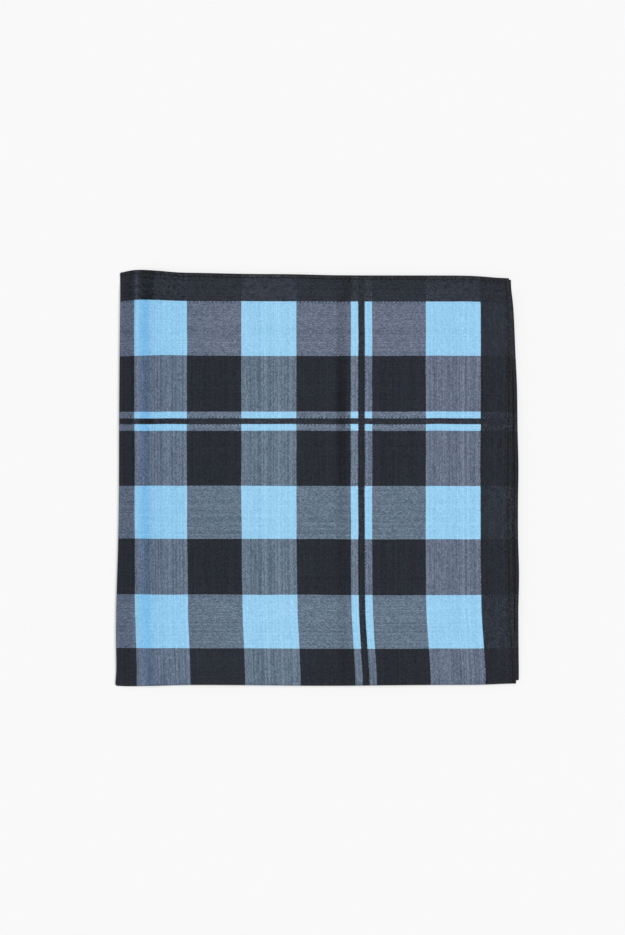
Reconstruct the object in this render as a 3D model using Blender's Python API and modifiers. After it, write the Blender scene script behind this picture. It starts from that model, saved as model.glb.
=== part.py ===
"""Folded cotton handkerchief: one hemmed square of cloth, folded in half twice, four layers deep.

The first fold runs down the left edge and lays the under half beneath the over half. The second
runs along the bottom edge and folds that pair in two. Open hems lie along the right and the top.

Metres, +Z up. The origin is the middle of the footprint, on the surface that the cloth lies on.
+X runs from the left fold to the open side hems, and +Y from the bottom fold to the open top hems.
"""

import math
from collections import namedtuple

import bmesh
import bpy
from mathutils import Vector

NAME = "handkerchief"

# The cloth
CLOTH_SIDE = 0.450
CLOTH_THICKNESS = 0.0010
LAYER_PITCH = 0.0017

# The folds, and how much of the cloth the top layer takes
LEFT_FOLD_RADIUS = LAYER_PITCH / 2
BOTTOM_FOLD_RADIUS = LAYER_PITCH
OVER_WIDTH = 0.2224
OVER_LENGTH = 0.2322
FOLD_SEGMENTS = 8

# Each half arc is measured along the middle of what it bends: one layer, then the pair of layers.
LEFT_HALF_ARC = math.pi * LEFT_FOLD_RADIUS / 2
BOTTOM_HALF_ARC = math.pi * BOTTOM_FOLD_RADIUS / 2
LEFT_BULGE = LEFT_FOLD_RADIUS + CLOTH_THICKNESS / 2
BOTTOM_BULGE = BOTTOM_FOLD_RADIUS + LEFT_BULGE
LEFT_FOLD_AT = OVER_WIDTH - LEFT_BULGE + LEFT_HALF_ARC
BOTTOM_FOLD_AT = OVER_LENGTH - BOTTOM_BULGE + BOTTOM_HALF_ARC
STACK_HEIGHT = 2 * BOTTOM_BULGE

# The turned and sewn hem, from its edge inwards
HemRow = namedtuple("HemRow", "from_edge front_set_back thickness")
HEM = (
    HemRow(0.0000, 0.00030, 0.00060),  # rounded edge
    HemRow(0.0005, 0.00000, 0.00110),
    HemRow(0.0019, 0.00000, 0.00110),
    HemRow(0.0023, 0.00012, 0.00095),  # line of stitches
    HemRow(0.0027, 0.00000, CLOTH_THICKNESS),
)
THICKEST = max(row.thickness for row in HEM)

# Where handling has drawn the cloth out of square. Places are measured from the two folds: "across"
# is negative on the under half, and "along" is negative on the half that the second fold hides.
Pull = namedtuple("Pull", "across along spread_across spread_along to_right to_top")
PULLS = (
    Pull(0.030, 0.232, 0.050, 0.030, 0.0000, 0.0018),  # top hem, lifted beside the crest
    Pull(0.009, 0.232, 0.010, 0.022, 0.0000, 0.0021),  # its peak on the crest
    Pull(0.000, 0.232, 0.004, 0.030, 0.0000, -0.0004),  # its left end
    Pull(0.222, 0.232, 0.016, 0.019, -0.0014, -0.0016),  # top right corner
    Pull(0.222, 0.113, 0.020, 0.030, -0.0006, 0.0000),  # waist of the right hem
    Pull(0.222, 0.000, 0.250, 0.030, 0.0030, 0.0000),  # foot of the over half
    Pull(0.222, 0.000, 0.014, 0.016, -0.0006, 0.0010),  # right end of the bottom fold
    Pull(0.016, 0.000, 0.014, 0.012, 0.0000, -0.0006),  # its lobe near the left end
    Pull(0.000, 0.000, 0.012, 0.052, -0.0028, 0.0000),  # foot of the left fold
    Pull(0.000, 0.232, 0.012, 0.110, 0.0010, 0.0000),  # top of the left fold
    Pull(-0.226, 0.232, 0.090, 0.070, -0.0036, 0.0000),  # under half's hem, at the top
    Pull(-0.226, 0.232, 0.020, 0.014, -0.0014, 0.0000),  # its corner
    Pull(-0.226, 0.232, 0.170, 0.080, 0.0000, -0.0024),  # under half's top hem
    Pull(-0.226, 0.060, 0.090, 0.140, -0.0012, 0.0000),  # under half's hem, lower down
    Pull(-0.226, 0.000, 0.014, 0.020, 0.0002, 0.0009),  # corner of the inner fold
    Pull(-0.226, -0.216, 0.090, 0.090, -0.0042, 0.0000),  # hidden hem of the under half
)

# Old creases that run down the whole stack and swell it or press it flat
Crease = namedtuple("Crease", "from_left_fold spread height_at_top height_at_foot")
CREASES = (
    Crease(0.0000, 0.0130, -0.0004, -0.0003),  # pressed left edge
    Crease(0.0085, 0.0024, 0.0003, 0.0002),  # crest beside it
    Crease(0.1180, 0.0090, -0.0004, -0.0002),  # foot of the step down the middle
    Crease(0.1285, 0.0060, 0.0004, 0.0002),  # its top
)

# The upper pair of layers is longer than the lower one, and comes down to the surface past its hem.
OVERHANG_CLEARANCE = 0.0006
OVERHANG_SLOPE = 0.0100
OVERHANG_DROP = 2 * LAYER_PITCH

# Lines of the sheet's grid beside those of the hems and folds, measured along the top layer
CREASE_STATIONS = (0.0045, 0.0085, 0.0125, 0.0200, 0.1060, 0.1180, 0.1235, 0.1285, 0.1350)
OVERHANG_STATIONS = (0.2175, 0.2205, 0.2235)
WIDEST_STEP = 0.036

# The material
BASE_COLOUR = (0.13, 0.19, 0.26, 1.0)
ROUGHNESS = 0.9
SHARP_ANGLE = math.radians(40)


def turn(distance, radius, height):
    """Bends a straight run round a half circle and returns how far on and how high a point gets.

    distance is measured along the run from the middle of its bend. height is how far the point
    stands off the run, on the outer side.
    """
    half_arc = math.pi * radius / 2
    angle = max(-half_arc, min(half_arc, distance)) / radius
    straight = max(0.0, abs(distance) - half_arc)
    reach = radius + height
    return straight - reach * math.cos(angle), reach * math.sin(angle)


def smooth_step(value):
    value = max(0.0, min(1.0, value))
    return value * value * (3 - 2 * value)


def hem_profile(across, along, column):
    """A column of the hem's table at a point of the flat cloth, read between its rows."""
    from_edge = min(across, along, CLOTH_SIDE - across, CLOTH_SIDE - along)
    for outer, inner in zip(HEM, HEM[1:]):
        if from_edge < inner.from_edge:
            share = (from_edge - outer.from_edge) / (inner.from_edge - outer.from_edge)
            start, end = getattr(outer, column), getattr(inner, column)
            return start + share * (end - start)
    return getattr(HEM[-1], column)


def pulled(from_left_fold, from_bottom_fold):
    """How far the pulls move a point of the cloth to the right and to the top."""
    to_right, to_top = 0.0, 0.0
    for pull in PULLS:
        away_across = (from_left_fold - pull.across) / pull.spread_across
        away_along = (from_bottom_fold - pull.along) / pull.spread_along
        share = math.exp(-(away_across**2) - away_along**2)
        to_right += pull.to_right * share
        to_top += pull.to_top * share
    return to_right, to_top


def swelling(from_left_fold, from_bottom_fold):
    """How much higher the top of the stack stands than a stack with no creases."""
    towards_top = max(0.0, min(1.0, from_bottom_fold / OVER_LENGTH))
    height = 0.0
    for crease in CREASES:
        share = math.exp(-(((from_left_fold - crease.from_left_fold) / crease.spread) ** 2))
        rise = crease.height_at_top - crease.height_at_foot
        height += share * (crease.height_at_foot + towards_top * rise)
    return height


def overhang_drop(from_bottom_fold, y):
    """How far the upper pair has come down at y, past the hem of the lower pair."""
    if from_bottom_fold < 0:
        return 0.0
    lower_hem = CLOTH_SIDE - BOTTOM_FOLD_AT - BOTTOM_HALF_ARC
    return OVERHANG_DROP * smooth_step((y - lower_hem - OVERHANG_CLEARANCE) / OVERHANG_SLOPE)


def folded(across, along):
    """Where a point of the cloth's front face lies, from its flat distances to the two open hems."""
    from_left_fold = LEFT_FOLD_AT - across
    from_bottom_fold = BOTTOM_FOLD_AT - along
    front = CLOTH_THICKNESS / 2 - hem_profile(across, along, "front_set_back")
    x, level = turn(from_left_fold, LEFT_FOLD_RADIUS, front)
    y, height = turn(from_bottom_fold, BOTTOM_FOLD_RADIUS, level)
    height += BOTTOM_BULGE - overhang_drop(from_bottom_fold, y)
    height *= 1 + swelling(x, y) / STACK_HEIGHT
    to_right, to_top = pulled(from_left_fold, from_bottom_fold)
    return Vector((x + to_right, y + to_top, height))


def stations(fold_at, half_arc, marks):
    """Flat distances from the over half's hem at which the sheet has a line of its grid."""
    hem = [row.from_edge for row in HEM]
    arc = [2 * half_arc * (step / FOLD_SEGMENTS - 0.5) for step in range(FOLD_SEGMENTS + 1)]
    found = hem + [CLOTH_SIDE - place for place in hem] + [fold_at + place for place in arc]
    for mark in marks:
        found += [fold_at - half_arc - mark, fold_at + half_arc + mark]
    found = sorted(place for place in found if 0 <= place <= CLOTH_SIDE)
    filled = found[:1]
    for place in found[1:]:
        gap = place - filled[-1]
        parts = math.ceil(gap / WIDEST_STEP)
        start = filled[-1]
        filled += [start + gap * (part + 1) / parts for part in range(parts)]
    return filled


def cotton():
    material = bpy.data.materials.new("checked cotton")
    material.use_nodes = True
    shader = material.node_tree.nodes["Principled BSDF"]
    shader.inputs["Base Color"].default_value = BASE_COLOUR
    shader.inputs["Roughness"].default_value = ROUGHNESS
    shader.inputs["Metallic"].default_value = 0.0
    return material


def folded_sheet(collection):
    """The front face of the whole cloth as one grid, folded, and thickened towards its back."""
    columns = stations(LEFT_FOLD_AT, LEFT_HALF_ARC, CREASE_STATIONS)
    rows = stations(BOTTOM_FOLD_AT, BOTTOM_HALF_ARC, OVERHANG_STATIONS)
    sheet = bmesh.new()
    bmesh.ops.create_grid(sheet, x_segments=len(columns) - 1, y_segments=len(rows) - 1, size=1)
    thickness = []
    for vertex in sheet.verts:
        across = columns[round((vertex.co.x + 1) / 2 * (len(columns) - 1))]
        along = rows[round((vertex.co.y + 1) / 2 * (len(rows) - 1))]
        vertex.co = folded(across, along)
        thickness.append(hem_profile(across, along, "thickness"))

    mesh = bpy.data.meshes.new(NAME)
    sheet.to_mesh(mesh)
    sheet.free()
    mesh.materials.append(cotton())
    cloth = bpy.data.objects.new(NAME, mesh)
    collection.objects.link(cloth)

    group = cloth.vertex_groups.new(name="thickness")
    for index, thick in enumerate(thickness):
        group.add([index], thick / THICKEST, "REPLACE")
    solidify = cloth.modifiers.new("thickness", "SOLIDIFY")
    solidify.thickness = THICKEST
    solidify.offset = -1
    solidify.vertex_group = group.name
    solidify.thickness_vertex_group = 0
    mesh.shade_smooth()
    mesh.set_sharp_from_angle(angle=SHARP_ANGLE)
    return cloth


def centre_on_origin(cloth):
    """Puts the middle of the cloth's footprint on the origin, with the cloth standing on Z 0."""
    bpy.context.view_layer.update()
    solid = cloth.evaluated_get(bpy.context.evaluated_depsgraph_get())
    corners = [Vector(corner) for corner in solid.bound_box]
    low = Vector(min(corner[axis] for corner in corners) for axis in range(3))
    high = Vector(max(corner[axis] for corner in corners) for axis in range(3))
    cloth.location = (-(low.x + high.x) / 2, -(low.y + high.y) / 2, -low.z)


def main():
    for existing in list(bpy.data.objects):
        bpy.data.objects.remove(existing)
    collection = bpy.data.collections.new("folded handkerchief")
    bpy.context.scene.collection.children.link(collection)
    cloth = folded_sheet(collection)
    centre_on_origin(cloth)


main()
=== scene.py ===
"""Looks of the folded cotton handkerchief: the hemmed check cloth, its stitches, and a plain stage.

Any point of the cloth is given by two flat distances: across, from the hem that lies at the right
of the top layer, and along, from the hem that lies at its top. A Fold turns them into a place on
the folded cloth. The first fold runs down the left edge and the second along the bottom edge.
"""

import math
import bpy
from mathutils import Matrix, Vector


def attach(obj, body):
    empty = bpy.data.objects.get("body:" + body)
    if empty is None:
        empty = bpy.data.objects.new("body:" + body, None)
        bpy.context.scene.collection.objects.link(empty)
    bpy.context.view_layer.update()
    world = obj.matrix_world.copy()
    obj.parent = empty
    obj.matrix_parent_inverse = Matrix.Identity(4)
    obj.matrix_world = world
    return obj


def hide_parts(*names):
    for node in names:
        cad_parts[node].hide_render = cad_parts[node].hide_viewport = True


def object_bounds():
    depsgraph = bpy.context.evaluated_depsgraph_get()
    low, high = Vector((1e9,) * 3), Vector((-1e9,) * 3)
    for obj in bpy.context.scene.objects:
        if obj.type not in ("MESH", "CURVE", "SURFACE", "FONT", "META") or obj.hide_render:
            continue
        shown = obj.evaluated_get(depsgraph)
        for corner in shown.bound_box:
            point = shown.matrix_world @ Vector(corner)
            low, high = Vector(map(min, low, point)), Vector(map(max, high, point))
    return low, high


bl_info = {
    "name": "Folded handkerchief",
    "version": (1, 0, 0),
    "blender": (4, 5, 0),
    "location": "3D View > Sidebar > Handkerchief",
    "description": "Builds a folded check handkerchief with stitched hems on a pale studio floor",
    "category": "Add Mesh",
}

from collections import namedtuple

import bpy
import numpy as np
from mathutils import Vector, noise

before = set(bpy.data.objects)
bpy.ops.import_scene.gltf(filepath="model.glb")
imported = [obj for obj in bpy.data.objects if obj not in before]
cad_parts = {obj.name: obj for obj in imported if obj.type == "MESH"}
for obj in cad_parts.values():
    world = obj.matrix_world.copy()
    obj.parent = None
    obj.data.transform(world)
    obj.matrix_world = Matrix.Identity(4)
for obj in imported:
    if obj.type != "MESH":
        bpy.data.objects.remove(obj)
cad_low, cad_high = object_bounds()

NODE = "handkerchief"
BODY = "root"
LAYERS = 4
MM = 0.001
SENSOR_MM = 36.0

# The stripes from a hem to the middle of the cloth, and the same again back to the far hem. A
# "float" stripe is dark too, but its yarns float over the ones they cross, so it runs on unbroken.
Stripe = namedtuple("Stripe", "yarn warp_width_mm weft_width_mm")
STRIPES = (
    Stripe("float", 17.9, 14.8),
    Stripe("blue", 31.2, 30.95),
    Stripe("dark", 30.3, 31.6),
    Stripe("blue", 4.2, 3.6),
    Stripe("float", 3.6, 3.6),
    Stripe("blue", 4.2, 3.75),
    Stripe("dark", 30.8, 31.05),
    Stripe("blue", 31.1, 30.05),
    Stripe("dark", 30.9, 31.55),
    Stripe("blue", 29.7, 30.4),
)
FLOAT_REPEAT = 5  # a float runs over four yarns and dips under the fifth
FLOAT_STOPS = 1.6  # of those five yarns, how many a stripe's edge floats stop short at
EDGE_YARNS = 2  # how many yarns beside a float stripe bind it

# The two directions of yarn: how fast the yarns wander, how much they differ from each other
# (streak) and along themselves (slub), and how hard those beside a float stripe are drawn up, at
# its teeth, or under
Direction = namedtuple(
    "Direction", "width_column wander_scale seed streak slub drawn_up drawn_under"
)
WARP = Direction("warp_width_mm", 45.0, 1.7, 0.34, 0.86, 0.30, 0.10)
WEFT = Direction("weft_width_mm", 38.0, 6.3, 0.20, 0.92, 0.75, 0.25)
WANDER_MM = 0.5  # how far a yarn strays from straight
OWN_STREAK = 0.86  # how much a yarn's own thickness counts, next to its slow change along it
STREAKS_PER_M, STREAKS_APART = 80.0, 3.17
SLUBS_PER_M, SLUBS_APART = 650.0, 7.31
CROWDING = 0.8  # how far a thick blue yarn covers the ones it crosses
DARK_PULL = 0.4  # the same for a dark yarn, as a share of that
YARN_EDGE = 0.25  # how soft the line is between two yarns
PEEP_DOME = (0.4, 0.9)  # how much of its own spot a yarn that peeps out from a float fills
PEEP_BY_CHANCE, PEEP_BY_PATCH = 0.7, 0.5
PATCH_CONTRAST = (0.3, 0.7)
PATCH_SCALE, CAST_SCALE = 420.0, 300.0

# The turned hem from its edge inwards: its front and back, measured from the middle of plain cloth
HemRow = namedtuple("HemRow", "from_edge_mm front_mm back_mm")
HEM = (
    HemRow(0.00, 0.02, -0.22),
    HemRow(0.14, 0.17, -0.44),
    HemRow(0.45, 0.25, -0.58),
    HemRow(1.00, 0.29, -0.62),
    HemRow(1.60, 0.27, -0.61),
    HemRow(1.95, 0.20, -0.58),
    HemRow(2.20, 0.12, -0.54),  # line of stitches
    HemRow(2.45, 0.18, -0.40),
    HemRow(2.90, 0.225, -0.225),
)
STITCH_LINE_MM = 2.20

# A stitch is a tube of rings. Its heights are in widths of its thread.
STITCH_STATIONS = 5
STITCH_SIDES = 6
STITCH_TAPER = 0.75  # how much of its section is gone at its ends
STITCH_CROWN = 0.45  # how far its middle stands off the cloth
STITCH_DIP = 0.75  # how far its ends go down from there
STITCHES_BELOW = 0.3  # how far the stitches stand out below the lowest hem

# Where handling has drawn the cloth out of square. Places are measured from the two folds: "across"
# is negative on the under half, and "along" is negative on the half that the second fold hides.
Pull = namedtuple("Pull", "across along spread_across spread_along to_right to_top")
PULLS_MM = (
    Pull(30, 232, 50, 30, 0.0, 1.8),  # top hem, lifted beside the crest
    Pull(9, 232, 10, 22, 0.0, 1.9),  # its peak on the crest
    Pull(22, 232, 9, 22, 0.0, 0.9),  # its shoulder
    Pull(97, 232, 22, 24, 0.0, 0.5),  # a swell farther along
    Pull(0, 232, 4, 12, -0.4, -0.1),  # its left end
    Pull(222, 232, 16, 19, -1.4, -1.45),  # top right corner
    Pull(222, 113, 20, 30, -0.6, 0.0),  # waist of the right hem
    Pull(222, 0, 250, 30, 3.0, 0.0),  # foot of the over half
    Pull(110, 0, 300, 12, 0.0, -0.35),  # bottom fold
    Pull(114, 0, 40, 20, 0.0, -0.5),
    Pull(222, 0, 14, 16, -0.6, 0.7),  # its right end
    Pull(16, 0, 14, 12, 0.0, -0.6),  # its lobe near the left end
    Pull(4, 0, 8, 10, 0.0, -0.5),  # the left end itself
    Pull(0, 0, 6, 6, -0.7, 0.0),  # its corner
    Pull(0, 0, 12, 68, -3.2, 0.0),  # foot of the left fold
    Pull(0, 110, 12, 60, -0.18, 0.0),  # its middle
    Pull(0, 150, 12, 40, -0.22, 0.0),
    Pull(0, 234, 12, 24, 0.58, 0.0),  # its top
    Pull(0, -190, 12, 80, 0.6, 0.0),  # the same fold on the lower pair of layers, drawn in under it
    Pull(-226, 232, 90, 62, -2.8, 0.0),  # under half's hem, at the top
    Pull(-226, 232, 20, 14, -1.4, 0.0),  # its corner
    Pull(-226, 232, 170, 80, 0.0, -2.4),  # under half's top hem
    Pull(-226, 100, 90, 120, -0.55, 0.0),  # under half's hem, lower down, and its waves
    Pull(-226, 62, 90, 16, 0.55, 0.0),
    Pull(-226, 124, 90, 16, 0.35, 0.0),
    Pull(-226, 170, 90, 18, 0.3, 0.0),
    Pull(-226, 0, 14, 20, 0.2, 0.9),  # corner of the inner fold
    Pull(-226, -216, 90, 90, -4.2, 0.0),  # hidden hem of the under half
    Pull(223, 233, 2.4, 2.4, -0.4, -0.1),  # rounded end of the top hem
    Pull(223, 229.4, 1.6, 1.2, 0.8, 0.0),  # where it stands out
    Pull(223, 226.6, 1.8, 1.5, -0.8, 0.0),  # notch below it
)

# Where the yarns run out of line with the folds, in the same places: how far the warp and the weft
# pattern lies from where a straight one would be, measured from the hems
Drift = namedtuple("Drift", "across along spread_across spread_along warp weft")
DRIFTS_MM = (
    Drift(20, 217, 75, 25, 0.0, -1.15),  # border wider towards the crest
    Drift(0, 232, 16, 100, -0.7, 0.0),  # left fold, at the top
    Drift(0, 0, 24, 90, 0.9, 0.0),  # left fold, at the foot
    Drift(0, 20, 16, 30, 0.45, 0.0),
    Drift(30, 188, 36, 20, 0.0, 0.55),  # first light square, beside the crest
    Drift(60, 50, 55, 35, 0.5, 0.0),  # lower rows, towards the left
    Drift(170, 60, 80, 60, 0.0, -0.35),  # lower rows, towards the right
)

# How high the stack stands from its left fold to its right hems: the edge is pressed flat, a crest
# and a shelf run beside it, and an old crease makes a step down the middle
Height = namedtuple("Height", "from_left_fold at_top at_foot")
HEIGHTS_MM = (
    Height(-3.0, 0.8, 0.8),
    Height(0.0, 1.1, 1.1),  # pressed left edge
    Height(6.6, 3.6, 3.7),
    Height(7.6, 4.0, 4.0),  # crest
    Height(9.6, 3.95, 4.0),
    Height(11.6, 4.4, 4.4),
    Height(13.6, 4.9, 4.9),
    Height(16.0, 5.4, 5.4),
    Height(19.5, 5.7, 5.7),
    Height(60.0, 5.9, 6.0),
    Height(121.8, 5.0, 5.2),  # foot of the middle step
    Height(127.4, 6.4, 6.3),  # its top
    Height(131.0, 6.6, 6.4),
    Height(170.0, 6.0, 5.8),
    Height(200.0, 5.3, 5.2),
    Height(228.0, 3.8, 3.6),  # right hems
)
CREASE_SOFTNESS_MM = 0.55
CREASE_SAMPLES = 7

# Where a crease is stronger than in the table above
Lift = namedtuple("Lift", "across along spread_across spread_along rise")
LIFTS_MM = (
    Lift(121.1, 150, 4.0, 38, -0.8),  # foot of the middle step
    Lift(127.7, 150, 3.8, 38, 0.8),  # its top
)

# The same from the bottom fold to the top hems, as a share of the height above
Share = namedtuple("Share", "from_bottom_fold share")
SHARES = (
    Share(-3.0, 0.52),
    Share(0.0, 0.60),  # bottom fold
    Share(5.0, 0.80),
    Share(14.0, 0.93),
    Share(30.0, 1.00),
    Share(104.0, 1.00),
    Share(107.0, 1.02),  # faint crease across
    Share(130.0, 1.00),
    Share(235.0, 1.00),
)

# Painted light on the weft floats of the border, along the top hem: a painted sheen all along, a
# painted highlight on the crest, and painted shade in the hollows beside the creases
FloatLight = namedtuple("FloatLight", "from_left_fold share")
PAINTED_FLOAT_LIGHT = (
    FloatLight(0.0, 1.25),
    FloatLight(4.0, 0.98),
    FloatLight(7.2, 0.80),
    FloatLight(8.4, 1.15),
    # the crest: painted highlight
    FloatLight(10.1, 1.50),  # crest
    FloatLight(11.2, 1.02),
    FloatLight(12.9, 0.60),
    FloatLight(15.2, 0.45),
    # the hollow beside it: painted shade
    FloatLight(19.2, 0.42),  # hollow beside it
    FloatLight(21.2, 0.78),
    FloatLight(37.0, 0.74),
    FloatLight(40.0, 1.12),
    FloatLight(125.0, 1.12),
    # the middle step: painted shade
    FloatLight(131.0, 0.72),  # middle step
    FloatLight(134.0, 1.10),
    FloatLight(175.0, 1.10),
    FloatLight(185.0, 0.96),
)
# how much brighter the weft floats are painted, as painted sheen
FLOAT_SHEEN_GAIN = 1.18

# Where the finish changes, as smooth steps from one place to another
Reach = namedtuple("Reach", "start_mm end_mm")
INNER_CROSSINGS = Reach(35, 125)  # from a hem
# painted shade: blue yarn tinted deeper past here, up to the left fold
SHADED_BY_FOLD = Reach(165, 200)  # across
TINTED_BY_HEM = Reach(30, 80)  # across
# painted sheen on the dark yarns beside the left fold
SHEEN_EDGE = Reach(6, 10)  # from the left fold
# dark yarns paler towards the bottom fold
PALER_FOOT = Reach(16, 24)  # from the bottom fold
PALER_FOOT_END = Reach(50, 130)  # from the left fold
# painted shade: the hollow beside the crest is tinted bluer between these
HOLLOW_START = Reach(11.2, 13.0)  # from the left fold, beside the crest
HOLLOW_END = Reach(15.5, 19.5)
DIMPLE = Reach(0.2, 0.7)  # from the line of stitches
HEM_END = Reach(STITCH_LINE_MM, STITCH_LINE_MM + 0.6)  # from the edge of the cloth

# How the yarns' unevenness colours them: blue yarns vary less than dark ones, dark ones have a cast
# that leans to red or to blue, and the hollow beside the crest is painted bluer as shade
Channel = namedtuple("Channel", "steadier_if_blue cast hollow")
CHANNELS = (
    Channel(1.25, 0.35, -0.15),  # red
    Channel(1.68, 0.0, 0.0),  # green
    Channel(1.82, -0.25, 0.11),  # blue
)
DARK_UNEVENNESS = 2.4
WEFT_GLINT, WARP_GLINT = 0.75, 0.70  # how unevenly the floats catch the light
FLOAT_SMOOTHNESS = 0.4  # how much evener the warp's floats are than its plain yarns
CAST_STRETCH = 0.4
PORE_WIDTH, PORE_SHADE = 0.35, 0.10
WARP_FLOAT_SHADE = 0.07
# how far the painted sheen beside the left fold, and the paler foot, lift the dark yarns
SHEEN_AND_PALER_FOOT = 0.22
OUTER_BY_FOLD = 0.7  # how far the crossings by the left fold keep their outer colour
# how strong the tint is by the right hem, next to the painted shade tint by the left fold
TINT_BY_HEM = 0.35  # how strong the wash is by the hem, next to the left fold's
DIMPLE_SHADE = 0.6
YARN_RISE_MM, THICK_YARN_RISE_MM = 0.032, 0.020
DIMPLE_DEPTH_MM = 0.25
COTTON_ROUGHNESS, UNEVEN_ROUGHNESS = 0.86, 0.15
TWIST_SCALE = 2600.0

# How a layer strays from level
Wave = namedtuple("Wave", "per_metre strength seed")
WAVES = (Wave(22, 1.0, 3.7), Wave(70, 0.35, 8.1))

# Where the cloth's grid is finer, measured from the folds on the top layer
Zone = namedtuple("Zone", "start end step")
FINE_ACROSS_MM = (Zone(0.0, 22.0, 0.8), Zone(118.0, 132.0, 0.8))
FINE_ALONG_MM = (Zone(0.0, 16.0, 1.4), Zone(102.0, 112.0, 1.6), Zone(208.0, 232.0, 1.3))
PLAIN_STEP_MM = 3.0
FOLD_STEPS = 10

# How much of the bake map's width and height each side of the cloth gets
TOP_LAYER_SHARE = 0.78
FRONT_ROOM = (0.01, 0.21, 0.98, 0.78)
BACK_ROOM = (0.01, 0.01, 0.98, 0.18)
RIM_ROOM = 0.005


class HandkerchiefSizes(bpy.types.PropertyGroup):
    """Real sizes of the cloth and of how it is folded."""

    cloth_side: bpy.props.FloatProperty(
        name="Cloth side",
        description="Side of the opened square, hem to hem",
        default=0.450,
        unit="LENGTH",
    )
    thickness: bpy.props.FloatProperty(
        name="Thickness",
        description="Thickness of the plain cloth",
        default=0.00045,
        precision=5,
        unit="LENGTH",
    )
    over_width: bpy.props.FloatProperty(
        name="Top layer width",
        description="From the left fold to the top layer's right hem, before any pull",
        default=0.2227,
        precision=4,
        unit="LENGTH",
    )
    over_length: bpy.props.FloatProperty(
        name="Top layer length",
        description="From the bottom fold to the top layer's top hem, before any pull",
        default=0.2322,
        precision=4,
        unit="LENGTH",
    )
    stack_height: bpy.props.FloatProperty(
        name="Stack height",
        description="Height of the four layers where no crease lifts them",
        default=0.0061,
        precision=4,
        unit="LENGTH",
    )
    overhang_clearance: bpy.props.FloatProperty(
        name="Overhang clearance",
        description="How far past the lower pair's hem the upper pair starts to come down",
        default=0.0006,
        precision=4,
        unit="LENGTH",
    )
    overhang_slope: bpy.props.FloatProperty(
        name="Overhang slope",
        description="Length over which the upper pair comes down past the lower one",
        default=0.0100,
        precision=4,
        unit="LENGTH",
    )
    unevenness: bpy.props.FloatProperty(
        name="Unevenness",
        description="How far a layer strays from level",
        default=0.00030,
        precision=5,
        unit="LENGTH",
    )
    stitch_pitch: bpy.props.FloatProperty(
        name="Stitch pitch",
        description="From one stitch of the hem to the next",
        default=0.0025,
        precision=4,
        unit="LENGTH",
    )
    stitch_length: bpy.props.FloatProperty(
        name="Stitch length",
        description="Length of one stitch that shows",
        default=0.0019,
        precision=4,
        unit="LENGTH",
    )
    thread_width: bpy.props.FloatProperty(
        name="Thread width",
        description="Width of the sewing thread",
        default=0.00028,
        precision=5,
        unit="LENGTH",
    )
    yarn_pitch: bpy.props.FloatProperty(
        name="Yarn pitch",
        description="From one yarn of the plain weave to the next",
        default=0.000416,
        precision=6,
        unit="LENGTH",
    )


def colour(name, description, default):
    return bpy.props.FloatVectorProperty(
        name=name,
        description=description,
        default=default,
        min=0.0,
        max=1.0,
        size=3,
        subtype="COLOR",
    )


class HandkerchiefColours(bpy.types.PropertyGroup):
    """Colours of the yarns and of the stage."""

    blue_field: colour("Blue field", "Blue yarn over blue yarn", (0.3076, 0.605, 0.854))
    blue_crossing: colour(
        "Blue crossing", "Blue yarn that crosses dark yarn", (0.245, 0.294, 0.420)
    )
    blue_crossing_inner: colour(
        "Blue crossing, inner", "The same, farther from the hems", (0.226, 0.320, 0.432)
    )
    dark_yarn: colour("Dark yarn", "Dark yarn, over blue or dark", (0.0155, 0.0185, 0.0265))
    # painted shade: a deeper blue tint on blue yarn near the left fold
    fold_shade_tint: colour("Fold wash", "Tints blue yarn near the left fold", (0.88, 0.945, 0.98))
    hem_wash: colour("Hem wash", "Tints the turned hem", (1.0, 0.93, 0.84))
    thread: colour("Thread", "Sewing thread of the hems", (0.006, 0.005, 0.005))
    thread_twist: colour(
        "Thread twist", "The same thread where its twist catches light", (0.014, 0.012, 0.012)
    )
    floor: colour("Floor", "Studio floor", (0.50, 0.50, 0.50))
    floor_glow: colour("Floor glow", "Light that comes up through the floor", (0.43, 0.43, 0.43))


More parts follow.
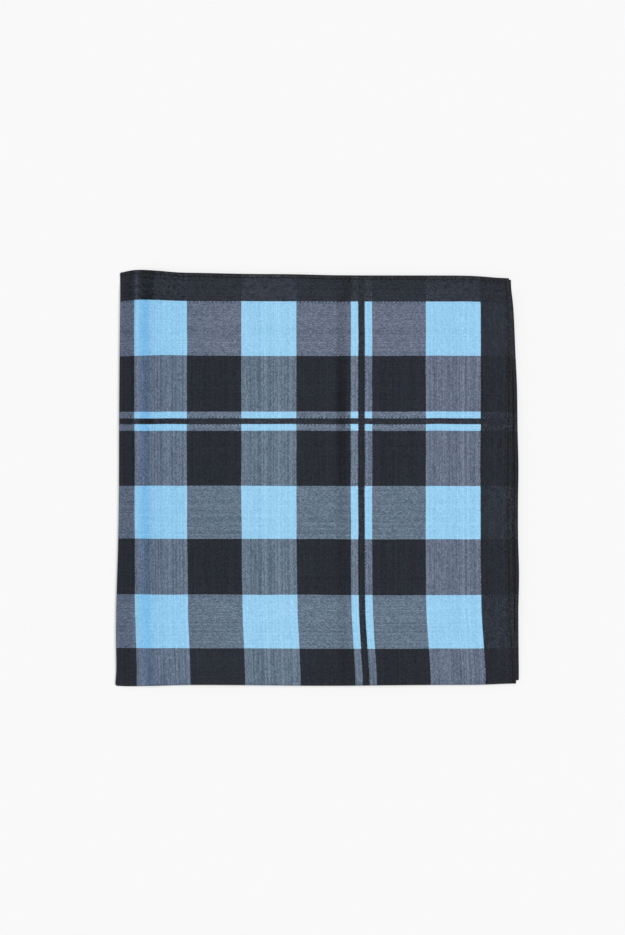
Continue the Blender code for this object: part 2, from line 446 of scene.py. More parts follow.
class Fold:
    """The folded cloth, worked out from its sizes."""

    def __init__(self, sizes):
        self.side = sizes.cloth_side
        self.height = sizes.stack_height
        self.pitch = (sizes.stack_height - sizes.thickness) / (LAYERS - 1)
        self.left_radius = self.pitch / 2
        self.bottom_radius = self.pitch
        self.left_arc = math.pi * self.left_radius / 2
        self.bottom_arc = math.pi * self.bottom_radius / 2
        self.left_bulge = self.left_radius + sizes.thickness / 2
        self.left_at = sizes.over_width - self.left_bulge + self.left_arc
        self.bottom_at = sizes.over_length - self.height / 2 + self.bottom_arc
        self.over_length = sizes.over_length
        self.clearance = sizes.overhang_clearance
        self.slope = sizes.overhang_slope
        self.unevenness = sizes.unevenness

    def place(self, across, along, stand_off):
        """Places of points that stand off the cloth's middle, towards its front if positive."""
        from_left = self.left_at - across
        from_bottom = self.bottom_at - along
        x, level = turn(from_left, self.left_radius, stand_off)
        y, z = turn(from_bottom, self.bottom_radius, level)
        z = z + self.height / 2 - self.overhang_drop(from_bottom, y)
        z = z * self.swelling(x, y)
        z = z * (1 + self.unevenness / self.height * strays(across, along))
        to_right, to_top = pulled(PULLS_MM, from_left, from_bottom)
        return np.stack(np.broadcast_arrays(x + to_right, y + to_top, z), axis=-1)

    def yarns_at(self, across, along):
        """The warp and weft places of the pattern there, measured from the hems."""
        from_left = self.left_at - across
        from_bottom = self.bottom_at - along
        warp, weft = pulled(DRIFTS_MM, from_left, from_bottom)
        return across + warp, along + weft

    def overhang_drop(self, from_bottom, y):
        """How far the upper pair of layers has come down at y, past the lower pair's hem."""
        lower_hem = self.side - self.bottom_at - self.bottom_arc
        down = np.clip((y - lower_hem - self.clearance) / self.slope, 0, 1)
        return np.where(from_bottom < 0, 0.0, 2 * self.pitch * down * down * (3 - 2 * down))

    def swelling(self, x, y):
        """How high the stack stands, as a share of a stack with no creases."""
        towards_top = np.clip(y / self.over_length, 0, 1)
        across = np.array(HEIGHTS_MM) * MM
        lengthwise = np.array(SHARES) * (MM, 1)
        height = 0.0
        offsets = np.linspace(-CREASE_SOFTNESS_MM, CREASE_SOFTNESS_MM, CREASE_SAMPLES) * MM
        for offset in offsets:
            at_top = np.interp(x + offset, across[:, 0], across[:, 1])
            at_foot = np.interp(x + offset, across[:, 0], across[:, 2])
            share = np.interp(y + 2 * offset, lengthwise[:, 0], lengthwise[:, 1])
            height = height + (at_foot + towards_top * (at_top - at_foot)) * share
        height = height / len(offsets)
        for row in LIFTS_MM:
            height = height + row.rise * MM * nearness(row, x, y)
        return height / self.height


def turn(distance, radius, stand_off):
    """Bends a straight run round a half circle: how far on and how high its points get.

    distance is measured along the run from the middle of its bend.
    """
    half_arc = math.pi * radius / 2
    angle = np.clip(distance, -half_arc, half_arc) / radius
    straight = np.maximum(0.0, np.abs(distance) - half_arc)
    reach = radius + stand_off
    return straight - reach * np.cos(angle), reach * np.sin(angle)


def nearness(row, from_left, from_bottom):
    """1 at the place of a table's row, falling to 0 over its spreads."""
    away_across = (from_left / MM - row.across) / row.spread_across
    away_along = (from_bottom / MM - row.along) / row.spread_along
    return np.exp(-(away_across**2) - away_along**2)


def pulled(rows, from_left, from_bottom):
    """How far the rows of a table move points of the cloth, in its last two columns' directions."""
    sideways, lengthwise = 0.0, 0.0
    for row in rows:
        share = nearness(row, from_left, from_bottom) * MM
        sideways = sideways + row[-2] * share
        lengthwise = lengthwise + row[-1] * share
    return sideways, lengthwise


def strays(across, along):
    """A soft unevenness from -1 to 1, different on each layer."""
    across, along = np.broadcast_arrays(across, along)
    found = np.empty(across.shape)
    flat = found.reshape(-1)
    for index, (a, b) in enumerate(zip(across.reshape(-1), along.reshape(-1))):
        flat[index] = sum(
            wave.strength * noise.noise(Vector((a * wave.per_metre, b * wave.per_metre, wave.seed)))
            for wave in WAVES
        )
    return found


def hem_profile(from_edge, column):
    """The hem's front or back at distances from the edge, read between the rows of its table."""
    places = [row.from_edge_mm * MM for row in HEM]
    return np.interp(from_edge, places, [getattr(row, column) * MM for row in HEM])


def edge_distance(fold, across, along):
    """How far a place is from the nearest edge of the cloth."""
    return np.minimum(
        np.minimum(across, fold.side - across), np.minimum(along, fold.side - along)
    )


def stations(fold, fold_at, half_arc, fine):
    """Flat distances at which the cloth's grid has a line."""
    marks = {row.from_edge_mm * MM for row in HEM}
    marks |= {fold.side - place for place in marks}
    marks |= {fold_at + 2 * half_arc * (step / FOLD_STEPS - 0.5) for step in range(FOLD_STEPS + 1)}
    for zone in fine:
        marks |= {fold_at - half_arc - zone.start * MM, fold_at - half_arc - zone.end * MM}
    marks = sorted(place for place in marks if 0 <= place <= fold.side)
    lines = marks[:1]
    for start, end in zip(marks, marks[1:]):
        middle = (fold_at - half_arc - (start + end) / 2) / MM
        steps = [zone.step for zone in fine if zone.start <= middle <= zone.end]
        parts = math.ceil((end - start) / (min(steps, default=PLAIN_STEP_MM) * MM))
        lines += [start + (end - start) * (part + 1) / parts for part in range(parts)]
    return np.array(lines)


def share_out(place, fold_at, side):
    """Spreads flat distances over 0 to 1 so that the top layer gets most of the room."""
    over = place / fold_at * TOP_LAYER_SHARE
    under = TOP_LAYER_SHARE + (place - fold_at) / (side - fold_at) * (1 - TOP_LAYER_SHARE)
    return np.where(place <= fold_at, over, under)


def in_room(room, u, v):
    """Places in a room of the bake map, from shares of its width and height."""
    left, low, width, height = room
    return np.stack([left + width * u, low + height * v], axis=-1)


def link(name, points, faces, material):
    """Adds a smooth mesh to the scene."""
    mesh = bpy.data.meshes.new(name)
    mesh.from_pydata(points.tolist(), [], faces.tolist())
    mesh.materials.append(material)
    mesh.shade_smooth()
    piece = bpy.data.objects.new(name, mesh)
    bpy.context.scene.collection.objects.link(piece)
    return piece


def lay_on_frame(points, low, high):
    """Moves points so that the cloth's box has the middle and the foot of the frame's."""
    shift = (np.array(cad_low) + np.array(cad_high)) / 2 - (low + high) / 2
    shift[2] = cad_low.z - low[2]
    return points + shift


class Value:
    """A socket of a shader. Arithmetic on it adds Math nodes."""

    def __init__(self, shader, socket):
        self.shader = shader
        self.socket = socket

    def __add__(self, other):
        return self.shader.maths("ADD", self, other)

    def __radd__(self, other):
        return self.shader.maths("ADD", other, self)

    def __sub__(self, other):
        return self.shader.maths("SUBTRACT", self, other)

    def __rsub__(self, other):
        return self.shader.maths("SUBTRACT", other, self)

    def __mul__(self, other):
        return self.shader.maths("MULTIPLY", self, other)

    def __rmul__(self, other):
        return self.shader.maths("MULTIPLY", other, self)

    def __truediv__(self, other):
        return self.shader.maths("DIVIDE", self, other)

    def __rtruediv__(self, other):
        return self.shader.maths("DIVIDE", other, self)


class Shader:
    """The nodes of one material, around its Principled BSDF."""

    def __init__(self, name, **constants):
        self.material = bpy.data.materials.new(name)
        self.material.use_nodes = True
        self.tree = self.material.node_tree
        self.surface = self.tree.nodes["Principled BSDF"]
        for socket, value in constants.items():
            self.surface.inputs[socket.replace("_", " ")].default_value = value

    def node(self, kind, settings, sockets, output=0):
        """Adds a node, sets it, fills in its sockets and returns one of its outputs."""
        node = self.tree.nodes.new(kind)
        for name, value in settings.items():
            setattr(node, name, value)
        for name, value in sockets.items():
            self.feed(node.inputs[name], value)
        return Value(self, node.outputs[output])

    def feed(self, socket, value):
        if isinstance(value, Value):
            self.tree.links.new(value.socket, socket)
        else:
            socket.default_value = value

    def maths(self, operation, *values):
        return self.node("ShaderNodeMath", {"operation": operation}, dict(enumerate(values)))

    def mix(self, share, first, second, blend="MIX"):
        """Mixes two colours. A Mix node has its sockets for colours at these numbers."""
        settings = {"data_type": "RGBA", "blend_type": blend}
        return self.node("ShaderNodeMix", settings, {0: share, 6: first, 7: second}, 2)

    def ramp(self, value, low, high):
        """0 below low and 1 above high, with a smooth step between them."""
        settings = {"interpolation_type": "SMOOTHSTEP"}
        return self.node("ShaderNodeMapRange", settings, {0: value, 1: low, 2: high})

    def past(self, place, reach):
        """0 before a Reach and 1 past it."""
        return self.ramp(place, reach.start_mm * MM, reach.end_mm * MM)

    def read(self, place, rows):
        """The second column of a table, read between its rows at a place in metres."""
        value = rows[0][1]
        for (start, before), (end, after) in zip(rows, rows[1:]):
            share = self.node("ShaderNodeMapRange", {}, {0: place, 1: start * MM, 2: end * MM})
            value = value + share * (after - before)
        return value

    def vector(self, x=0.0, y=0.0, z=0.0):
        return self.node("ShaderNodeCombineXYZ", {}, {0: x, 1: y, 2: z})

    def noise(self, place, scale, detail=2.0):
        settings = {"noise_dimensions": "2D"}
        sockets = {"Vector": place, "Scale": scale, "Detail": detail}
        return self.node("ShaderNodeTexNoise", settings, sockets)

    def chance(self, x, y):
        """A number from 0 to 1 that is different at each x and y."""
        return self.node("ShaderNodeTexWhiteNoise", {}, {"Vector": self.vector(x, y)})

    def surface_from(self, **links):
        for socket, value in links.items():
            self.feed(self.surface.inputs[socket.replace("_", " ")], value)
        return self.material


def opaque(colour):
    return (*colour, 1.0)


def places_on(shader, uv_map):
    """The two flat distances that a map holds."""
    flat = shader.node("ShaderNodeUVMap", {"uv_map": uv_map}, {})
    return [shader.node("ShaderNodeSeparateXYZ", {}, {0: flat}, axis) for axis in (0, 1)]


class Yarns:
    """The warp or the weft. Its values tell of its own yarn at any point of the cloth."""

    def __init__(self, shader, sizes, way, place, lengthwise):
        self.shader = shader
        self.way = way
        self.pitch = sizes.yarn_pitch
        wander = shader.noise(shader.vector(place, lengthwise), way.wander_scale) - 0.5
        self.turns = (place + wander * (WANDER_MM * MM)) / self.pitch
        self.count = shader.maths("FLOOR", self.turns)
        self.middle = (self.count + 0.5) * self.pitch
        self.from_hem = shader.maths("MINIMUM", self.middle, sizes.cloth_side - self.middle)
        self.size = self.size_at(lengthwise)
        self.blue = self.in_stripes("blue")
        self.pull = self.size * (DARK_PULL + self.blue * (1 - DARK_PULL))
        self.wave = shader.maths("SINE", self.turns * math.pi)

    def size_at(self, lengthwise):
        """How much thicker or paler than the rest a yarn is at a place along it."""
        own = self.shader.chance(self.count, self.way.seed)
        slubs = self.along_each(SLUBS_APART, lengthwise * SLUBS_PER_M)
        drift = self.along_each(STREAKS_APART, lengthwise * STREAKS_PER_M)
        streak = ((own - 0.5) * OWN_STREAK + drift - 0.5) * self.way.streak
        return streak + (slubs - 0.5) * self.way.slub

    def along_each(self, apart, lengthwise):
        """Noise along each yarn, read so far apart that no yarn is like its neighbour."""
        place = self.shader.vector(self.count * apart, lengthwise + self.way.seed)
        return self.shader.noise(place, 1.0, 1.0)

    def in_stripes(self, kind, drawn_in=0.0):
        """1 where the yarn is in a stripe of that kind, with its sides drawn in, else 0."""
        found = 0.0
        start = 0.0
        for stripe in STRIPES:
            end = start + getattr(stripe, self.way.width_column) * MM
            if stripe.yarn == kind:
                outer = start or -end  # the border has no outer side
                reach = (end - outer) / 2 - drawn_in
                middle = (outer + end) / 2
                found = found + self.shader.maths("COMPARE", self.from_hem, middle, reach)
            start = end
        return found

    def floats(self, tooth):
        """1 in the float stripes, which are a yarn narrower on each side at a tooth."""
        return self.in_stripes("float", tooth * self.pitch)

    def drawn_beside_floats(self, tooth):
        """How hard the yarns beside a float stripe are drawn up, or under if negative."""
        beside = self.in_stripes("float", -EDGE_YARNS * self.pitch)
        return beside * (tooth * self.way.drawn_up - self.way.drawn_under)


class Weave:
    """Warp and weft crossing: which lies on top at any point, and how the cloth domes there."""

    def __init__(self, shader, sizes):
        self.shader = shader
        self.across, self.along = places_on(shader, "Yarns")
        self.warp = warp = Yarns(shader, sizes, WARP, self.across, self.along)
        self.weft = weft = Yarns(shader, sizes, WEFT, self.along, self.across)
        self.chance = shader.chance(warp.count, weft.count)
        warp_tooth, weft_tooth = self.tooth(weft.count), self.tooth(warp.count)
        self.weft_float = weft.floats(weft_tooth)
        self.warp_float = warp.floats(warp_tooth) * (1 - self.weft_float)

        crossing = warp.wave * weft.wave
        self.dome = shader.maths("ABSOLUTE", crossing)
        drawn = warp.drawn_beside_floats(warp_tooth) - weft.drawn_beside_floats(weft_tooth)
        lead = crossing + (warp.pull - weft.pull) * CROWDING + drawn
        plain = shader.ramp(lead, -YARN_EDGE, YARN_EDGE)
        peep = self.peep()
        plain = plain * (1 - self.weft_float) * (1 - self.warp_float)
        self.warp_over = plain + self.warp_float * (1 - peep) + self.weft_float * peep
        self.weft_over = 1 - self.warp_over
        self.blue_over = self.warp_over * warp.blue + self.weft_over * weft.blue

    def tooth(self, count):
        """1 at the yarns where the floats of a stripe's edge stop short, else 0."""
        place = self.shader.maths("FLOORED_MODULO", count, FLOAT_REPEAT)
        return self.shader.maths("LESS_THAN", place + self.chance, FLOAT_STOPS)

    def peep(self):
        """How far the yarn under a float peeps out where the float dips, more in some patches."""
        shader, warp, weft = self.shader, self.warp, self.weft
        turn_at = shader.maths("FLOORED_MODULO", warp.count + weft.count * 2, FLOAT_REPEAT)
        patch = shader.noise(shader.vector(warp.middle, weft.middle), PATCH_SCALE)
        patch = shader.ramp(patch, *PATCH_CONTRAST)
        dips = shader.maths("LESS_THAN", turn_at, 0.5) * shader.ramp(self.dome, *PEEP_DOME)
        return dips * (self.chance * PEEP_BY_CHANCE + patch * PEEP_BY_PATCH)


def cotton_check(sizes, colours, fold):
    """Plain weave of blue and dark yarns, with dark floats in the border and in the thin lines."""
    shader = Shader(
        "woven check cotton",
        Specular_IOR_Level=0.20,
        Sheen_Weight=0.06,
        Sheen_Roughness=0.5,
    )
    weave = Weave(shader, sizes)
    smoothed = 1 - weave.warp_float * FLOAT_SMOOTHNESS
    warp_tone = weave.warp_over * smoothed * weave.warp.size
    tone = warp_tone + weave.weft_over * weave.weft.size
    base = yarn_colour(shader, weave, colours)
    base = shader.mix(1.0, base, yarn_shades(shader, weave, fold, tone), "MULTIPLY")

    hem, dimple = hem_marks(shader, sizes)
    base = shader.mix(hem, base, opaque(colours.hem_wash), "MULTIPLY")
    base = shader.mix(dimple * DIMPLE_SHADE, base, opaque(colours.thread))
    yarn_rise = weave.dome * (YARN_RISE_MM + tone * THICK_YARN_RISE_MM)
    height = (yarn_rise - dimple * DIMPLE_DEPTH_MM) * MM
    bump = shader.node(
        "ShaderNodeBump", {}, {"Strength": 0.8, "Distance": 1.0, "Height": height}
    )
    roughness = COTTON_ROUGHNESS + tone * UNEVEN_ROUGHNESS
    return shader.surface_from(Base_Color=base, Roughness=roughness, Normal=bump)


def yarn_colour(shader, weave, colours):
    """The yarn on top: dark, blue over blue, or blue that crosses dark."""
    warp, weft = weave.warp, weave.weft
    by_fold = shader.past(weave.across, SHADED_BY_FOLD)
    by_hem = 1 - shader.past(weave.across, TINTED_BY_HEM)
    from_hem = weave.warp_over * warp.from_hem + weave.weft_over * weft.from_hem
    inner = shader.past(from_hem, INNER_CROSSINGS) * (1 - by_fold * OUTER_BY_FOLD)
    crossed = shader.mix(inner, opaque(colours.blue_crossing), opaque(colours.blue_crossing_inner))
    blue = shader.mix(warp.blue * weft.blue, crossed, opaque(colours.blue_field))
    # painted shade: blue yarn tinted deeper near the left fold, and the same tint, weaker, near the
    # right hem
    fold_shade_and_hem_tint = by_fold + by_hem * TINT_BY_HEM
    blue = shader.mix(fold_shade_and_hem_tint, blue, opaque(colours.fold_shade_tint), "MULTIPLY")
    return shader.mix(weave.blue_over, opaque(colours.dark_yarn), blue)


def yarn_shades(shader, weave, fold, tone):
    """What the yarn's colour is multiplied by: its unevenness, the pores, painted sheen, highlight
    and shade along the creases and the left fold, and paler dark yarns towards the bottom fold.
    """
    warp_float, weft_float = weave.warp_float, weave.weft_float
    dark_over = 1 - weave.blue_over
    from_left = shader.maths("ABSOLUTE", fold.left_at - weave.across)
    from_bottom = shader.maths("ABSOLUTE", fold.bottom_at - weave.along)
    # painted sheen on dark yarns beside the left fold, and dark yarns paler towards the bottom fold
    foot = 1 - shader.past(from_bottom, PALER_FOOT)
    foot = foot * (1 - shader.past(from_left, PALER_FOOT_END))
    sheen_and_paler_foot = shader.maths("MINIMUM", 1 - shader.past(from_left, SHEEN_EDGE) + foot, 1.0)
    sheen_and_paler_foot = sheen_and_paler_foot * dark_over * (1 - weft_float)
    pore = 1 - shader.ramp(weave.dome, 0.0, PORE_WIDTH)
    # painted sheen on the border's weft floats, a painted highlight on the crest and painted shade
    # beside the creases
    float_sheen_and_shade = shader.read(from_left, PAINTED_FLOAT_LIGHT) * FLOAT_SHEEN_GAIN - 1
    glint = (weft_float * WEFT_GLINT + warp_float * WARP_GLINT) * (weave.chance - 0.5)
    even = 1 - pore * PORE_SHADE + weft_float * float_sheen_and_shade - warp_float * WARP_FLOAT_SHADE
    even = even + sheen_and_paler_foot * SHEEN_AND_PALER_FOOT + glint

    cast_at = shader.vector(weave.warp.middle, weave.weft.middle * CAST_STRETCH)
    cast = (shader.noise(cast_at, CAST_SCALE) - 0.5) * dark_over
    # painted shade: the hollow beside the crest is tinted bluer
    hollow = shader.past(from_left, HOLLOW_START) * (1 - shader.past(from_left, HOLLOW_END))
    hollow = hollow * weave.blue_over
    shades = []
    for channel in CHANNELS:
        uneven = tone * (DARK_UNEVENNESS - weave.blue_over * channel.steadier_if_blue)
        shades.append(even + uneven + cast * channel.cast + hollow * channel.hollow)
    return shader.vector(*shades)


def hem_marks(shader, sizes):
    """1 on the turned hem, and 1 where a stitch draws it down, else 0."""
    across, along = places_on(shader, "Cloth")
    from_side = shader.maths("MINIMUM", across, sizes.cloth_side - across)
    from_end = shader.maths("MINIMUM", along, sizes.cloth_side - along)
    inset = STITCH_LINE_MM * MM
    pitch = stitch_pitch(sizes)
    dimple = 0.0
    for from_hem, lengthwise in ((from_side, along), (from_end, across)):
        turns = (lengthwise - inset) * (2 * math.pi / pitch)
        low = shader.ramp(shader.maths("COSINE", turns), 0.1, 1.0)
        line = 1 - shader.past(shader.maths("ABSOLUTE", from_hem - inset), DIMPLE)
        dimple = dimple + low * line
    from_edge = shader.maths("MINIMUM", from_side, from_end)
    hem = 1 - shader.past(from_edge, HEM_END)
    return hem, shader.maths("MINIMUM", dimple, 1.0)


def stitch_pitch(sizes):
    """The pitch that brings a whole number of stitches onto each hem."""
    length = sizes.cloth_side - 2 * STITCH_LINE_MM * MM
    return length / round(length / sizes.stitch_pitch)


def sewing_thread(colours):
    """Dark twisted cotton thread."""
    shader = Shader("dark sewing thread", Specular_IOR_Level=0.2)
    place = shader.node("ShaderNodeTexCoord", {}, {}, "Object")
    sockets = {"Vector": place, "Scale": TWIST_SCALE, "Detail": 1.0}
    twist = shader.node("ShaderNodeTexNoise", {}, sockets)
    base = shader.mix(twist, opaque(colours.thread), opaque(colours.thread_twist))
    return shader.surface_from(Base_Color=base, Roughness=0.70 + twist * 0.2)


def cloth_points(fold, across, along):
    """The cloth's front and back as two grids of points."""
    from_edge = edge_distance(fold, across, along)
    front = fold.place(across, along, hem_profile(from_edge, "front_mm"))
    back = fold.place(across, along, hem_profile(from_edge, "back_mm"))
    return front, back


def ring_of(grid):
    """The grid's outermost numbers, once round."""
    return np.concatenate([grid[0, :-1], grid[:-1, -1], grid[-1, :0:-1], grid[:0:-1, 0]])


def sheet_faces(shape):
    """Front, back and rim of a closed sheet, whose points are two grids of that shape."""
    size = shape[0] * shape[1]
    grid = np.arange(size).reshape(shape)
    corners = [grid[:-1, :-1], grid[:-1, 1:], grid[1:, 1:], grid[1:, :-1]]
    front = np.stack([corner.reshape(-1) for corner in corners], axis=-1)
    ring = ring_of(grid)
    ahead = np.roll(ring, -1)
    rim = np.stack([ahead, ring, ring + size, ahead + size], axis=-1)
    return front, front[:, ::-1] + size, rim


def bake_map(fold, across, along, faces, rim_count):
    """Where the corners of the faces lie on the bake map. The rim's faces come last."""
    u, v = share_out(across, fold.left_at, fold.side), share_out(along, fold.bottom_at, fold.side)
    front = in_room(FRONT_ROOM, u, v).reshape(-1, 2)
    back = in_room(BACK_ROOM, across / fold.side, along / fold.side).reshape(-1, 2)
    bake = np.concatenate([front, back])[faces]
    rim = bake[-rim_count:]
    rim[:, 2] = pushed_out(front, across.shape)
    rim[:, 3] = np.roll(rim[:, 2], -1, axis=0)
    return bake


def pushed_out(front, shape):
    """Places just outside the front's room, for the far side of the rim."""
    rows, columns = shape
    ring = ring_of(np.arange(rows * columns).reshape(shape))
    row, column = ring // columns, ring % columns
    to_right = np.where(column == columns - 1, 1.0, 0.0) - np.where(column == 0, 1.0, 0.0)
    to_top = np.where(row == rows - 1, 1.0, 0.0) - np.where(row == 0, 1.0, 0.0)
    return front[ring] + RIM_ROOM * np.stack([to_right, to_top], axis=-1)


class HANDKERCHIEF_OT_cloth(bpy.types.Operator):
    """Build the hemmed cloth, folded in half both ways"""

    bl_idname = "handkerchief.cloth"
    bl_label = "Folded cloth"

    def execute(self, context):
        sizes, colours = context.scene.handkerchief_sizes, context.scene.handkerchief_colours
        fold = Fold(sizes)
        columns = stations(fold, fold.left_at, fold.left_arc, FINE_ACROSS_MM)
        rows = stations(fold, fold.bottom_at, fold.bottom_arc, FINE_ALONG_MM)
        across, along = np.meshgrid(columns, rows)
        front, back = cloth_points(fold, across, along)
        points = np.concatenate([front.reshape(-1, 3), back.reshape(-1, 3)])
        low, high = points.min(axis=0), points.max(axis=0)
        low[2] -= sizes.thread_width * STITCHES_BELOW
        points = lay_on_frame(points, low, high)
        context.scene["handkerchief_box"] = [*low, *high]

        front_faces, back_faces, rim_faces = sheet_faces(across.shape)
        faces = np.concatenate([front_faces, back_faces, rim_faces])
        cloth = link("checked_handkerchief", points, faces, cotton_check(sizes, colours, fold))
        self.write_map(cloth, "OFBake", bake_map(fold, across, along, faces, len(rim_faces)))
        for name, places in (("Cloth", (across, along)), ("Yarns", fold.yarns_at(across, along))):
            flat = np.stack(places, axis=-1).reshape(-1, 2)
            self.write_map(cloth, name, np.concatenate([flat, flat])[faces])
        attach(cloth, BODY)
        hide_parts(NODE)
        return {"FINISHED"}

    def write_map(self, piece, name, places):
        layer = piece.data.uv_layers.new(name=name)
        layer.uv.foreach_set("vector", places.reshape(-1))


class HANDKERCHIEF_OT_stitches(bpy.types.Operator):
    """Sew the lines of stitches along the four hems"""

    bl_idname = "handkerchief.stitches"
    bl_label = "Hem stitches"

    def execute(self, context):
        sizes, colours = context.scene.handkerchief_sizes, context.scene.handkerchief_colours
        if "handkerchief_box" not in context.scene:
            raise RuntimeError("build the cloth before its stitches")
        fold = Fold(sizes)
        inset = STITCH_LINE_MM * MM
        pitch = stitch_pitch(sizes)
        count = round((fold.side - 2 * inset) / pitch)
        centres = inset + pitch * (np.arange(count) + 0.5)
        parts = []
        for side, sign in (("front_mm", 1), ("back_mm", -1)):
            surface = hem_profile(inset, side)
            tube = stitch_tube(sizes, surface, sign)
            for near in (inset, fold.side - inset):
                lengthwise = centres[:, None, None] + tube[..., 0]
                sideways = near + tube[..., 1]
                parts.append(fold.place(lengthwise, sideways, tube[..., 2]))
                parts.append(fold.place(sideways, lengthwise, tube[..., 2]))
        points = np.concatenate([part.reshape(-1, 3) for part in parts])
        box = np.array(context.scene["handkerchief_box"])
        points = lay_on_frame(points, box[:3], box[3:])
        faces = tube_faces(len(points) // (STITCH_STATIONS * STITCH_SIDES))
        stitches = link("hem_stitches", points, faces, sewing_thread(colours))
        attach(stitches, BODY)
        return {"FINISHED"}


def stitch_tube(sizes, surface, sign):
    """One stitch in flat distances: along the hem, across the hem and off the cloth's middle."""
    step = np.linspace(-1, 1, STITCH_STATIONS)[:, None]
    angle = np.linspace(0, 2 * math.pi, STITCH_SIDES, endpoint=False)[None, :] * sign
    radius = sizes.thread_width / 2 * np.sqrt(1 - STITCH_TAPER * step**2)
    rise = surface + sign * sizes.thread_width * (STITCH_CROWN - STITCH_DIP * step**2)
    lengthwise = step * sizes.stitch_length / 2
    sideways = radius * np.cos(angle)
    stand_off = rise + radius * np.sin(angle) * sign
    return np.stack(np.broadcast_arrays(lengthwise, sideways, stand_off), axis=-1)


def tube_faces(count):
    """Faces of many tubes: the sides as quads, and each end as two quads."""
    grid = np.arange(STITCH_STATIONS * STITCH_SIDES).reshape(STITCH_STATIONS, STITCH_SIDES)
    ahead = np.roll(grid, -1, axis=1)
    sides = np.stack([grid[:-1], ahead[:-1], ahead[1:], grid[1:]], axis=-1).reshape(-1, 4)
    first, last = grid[0], grid[-1]
    ends = np.array(
        [
            [first[0], first[3], first[2], first[1]],
            [first[0], first[5], first[4], first[3]],
            [last[0], last[1], last[2], last[3]],
            [last[0], last[3], last[4], last[5]],
        ]
    )
    one = np.concatenate([sides, ends])
    firsts = STITCH_STATIONS * STITCH_SIDES * np.arange(count)
    return (one[None] + firsts[:, None, None]).reshape(-1, 4)


class StageSettings(bpy.types.PropertyGroup):
    """Floor, light and camera."""

    floor_size: bpy.props.FloatProperty(
        name="Floor size",
        description="Side of the square floor",
        default=40.0,
        unit="LENGTH",
    )
    fill_strength: bpy.props.FloatProperty(
        name="Fill",
        description="Strength of the even light from all round",
        default=0.413,
    )
    key_strength: bpy.props.FloatProperty(
        name="Key",
        description="Strength of the soft key light",
        default=2.80,
    )
    key_azimuth: bpy.props.FloatProperty(
        name="Key azimuth",
        description="Where the key stands, turned from the right of the cloth towards its top",
        default=math.radians(12),
        subtype="ANGLE",
    )
    key_elevation: bpy.props.FloatProperty(
        name="Key elevation",
        description="How high the key stands above the floor",
        default=math.radians(44),
        subtype="ANGLE",
    )
    key_softness: bpy.props.FloatProperty(
        name="Key softness",
        description="How wide the key looks from the cloth",
        default=math.radians(32),
        subtype="ANGLE",
    )
    view_height: bpy.props.FloatProperty(
        name="View height",
        description="Height of the picture, measured on the cloth",
        default=0.5292,
        precision=4,
        unit="LENGTH",
    )
    view_right: bpy.props.FloatProperty(
        name="View right",
        description="How far right of the cloth's middle the camera stands",
        default=-0.0026,
        precision=4,
        unit="LENGTH",
    )
    view_up: bpy.props.FloatProperty(
        name="View up",
        description="How far above the cloth's middle the camera stands, in the picture",
        default=0.0060,
        precision=4,
        unit="LENGTH",
    )
    lens: bpy.props.FloatProperty(
        name="Lens",
        description="Focal length in millimetres",
        default=100.0,
    )


def floor_finish(colours):
    """Milky studio board, lit a little from below so that shadows stay pale."""
    shader = Shader(
        "pale studio floor", Specular_IOR_Level=0.1, Roughness=0.95, Emission_Strength=1.0
    )
    glow = opaque(colours.floor_glow)
    return shader.surface_from(Base_Color=opaque(colours.floor), Emission_Color=glow)


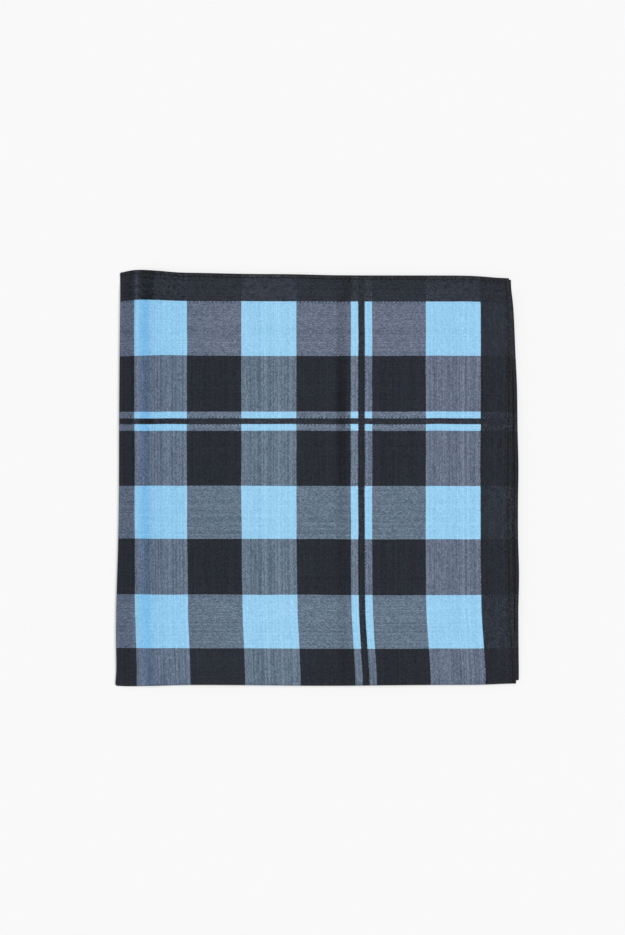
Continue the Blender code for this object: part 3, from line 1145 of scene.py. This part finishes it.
class HANDKERCHIEF_OT_stage(bpy.types.Operator):
    """Add the pale floor, the soft studio light and the camera straight above"""

    bl_idname = "handkerchief.stage"
    bl_label = "Stage"

    def execute(self, context):
        stage, colours = context.scene.handkerchief_stage, context.scene.handkerchief_colours
        half = stage.floor_size / 2
        corners = np.array([(-half, -half, 0), (half, -half, 0), (half, half, 0), (-half, half, 0)])
        floor = link("floor", corners, np.array([[0, 1, 2, 3]]), floor_finish(colours))
        floor.location.z = cad_low.z

        world = bpy.data.worlds.new("even fill")
        world.use_nodes = True
        background = world.node_tree.nodes["Background"]
        background.inputs["Color"].default_value = (1.0, 1.0, 1.0, 1.0)
        background.inputs["Strength"].default_value = stage.fill_strength
        context.scene.world = world

        lamp = bpy.data.lights.new("soft key", "SUN")
        lamp.energy = stage.key_strength
        lamp.angle = stage.key_softness
        key = bpy.data.objects.new("soft key", lamp)
        level = math.cos(stage.key_elevation)
        towards = Vector(
            (
                level * math.cos(stage.key_azimuth),
                level * math.sin(stage.key_azimuth),
                math.sin(stage.key_elevation),
            )
        )
        key.location = towards
        key.rotation_euler = towards.to_track_quat("Z", "Y").to_euler()
        context.scene.collection.objects.link(key)

        lens = bpy.data.cameras.new("camera")
        lens.lens = stage.lens
        lens.sensor_width = SENSOR_MM
        camera = bpy.data.objects.new("camera", lens)
        middle = (cad_low + cad_high) / 2
        distance = stage.view_height * stage.lens / SENSOR_MM
        camera.location = (
            middle.x + stage.view_right,
            middle.y + stage.view_up,
            cad_high.z + distance,
        )
        context.scene.collection.objects.link(camera)
        context.scene.camera = camera
        context.scene.view_settings.view_transform = "Standard"
        return {"FINISHED"}


class HANDKERCHIEF_PT_panel(bpy.types.Panel):
    """Sizes, colours and steps of the handkerchief"""

    bl_idname = "HANDKERCHIEF_PT_panel"
    bl_label = "Folded handkerchief"
    bl_space_type = "VIEW_3D"
    bl_region_type = "UI"
    bl_category = "Handkerchief"

    def draw(self, context):
        for step in STEPS:
            self.layout.operator(step.bl_idname)
        for group in ("sizes", "colours", "stage"):
            settings = getattr(context.scene, f"handkerchief_{group}")
            column = self.layout.column(heading=group.capitalize())
            for name in settings.__annotations__:
                column.prop(settings, name)


STEPS = (HANDKERCHIEF_OT_cloth, HANDKERCHIEF_OT_stitches, HANDKERCHIEF_OT_stage)
GROUPS = {
    "handkerchief_sizes": HandkerchiefSizes,
    "handkerchief_colours": HandkerchiefColours,
    "handkerchief_stage": StageSettings,
}


def register():
    for group in GROUPS.values():
        bpy.utils.register_class(group)
    for name, group in GROUPS.items():
        setattr(bpy.types.Scene, name, bpy.props.PointerProperty(type=group))
    for step in STEPS:
        bpy.utils.register_class(step)
    bpy.utils.register_class(HANDKERCHIEF_PT_panel)


def unregister():
    bpy.utils.unregister_class(HANDKERCHIEF_PT_panel)
    for step in reversed(STEPS):
        bpy.utils.unregister_class(step)
    for name in GROUPS:
        delattr(bpy.types.Scene, name)
    for group in reversed(GROUPS.values()):
        bpy.utils.unregister_class(group)


def main():
    register()
    bpy.ops.handkerchief.cloth()
    bpy.ops.handkerchief.stitches()
    bpy.ops.handkerchief.stage()


if __name__ == "__main__":
    main()
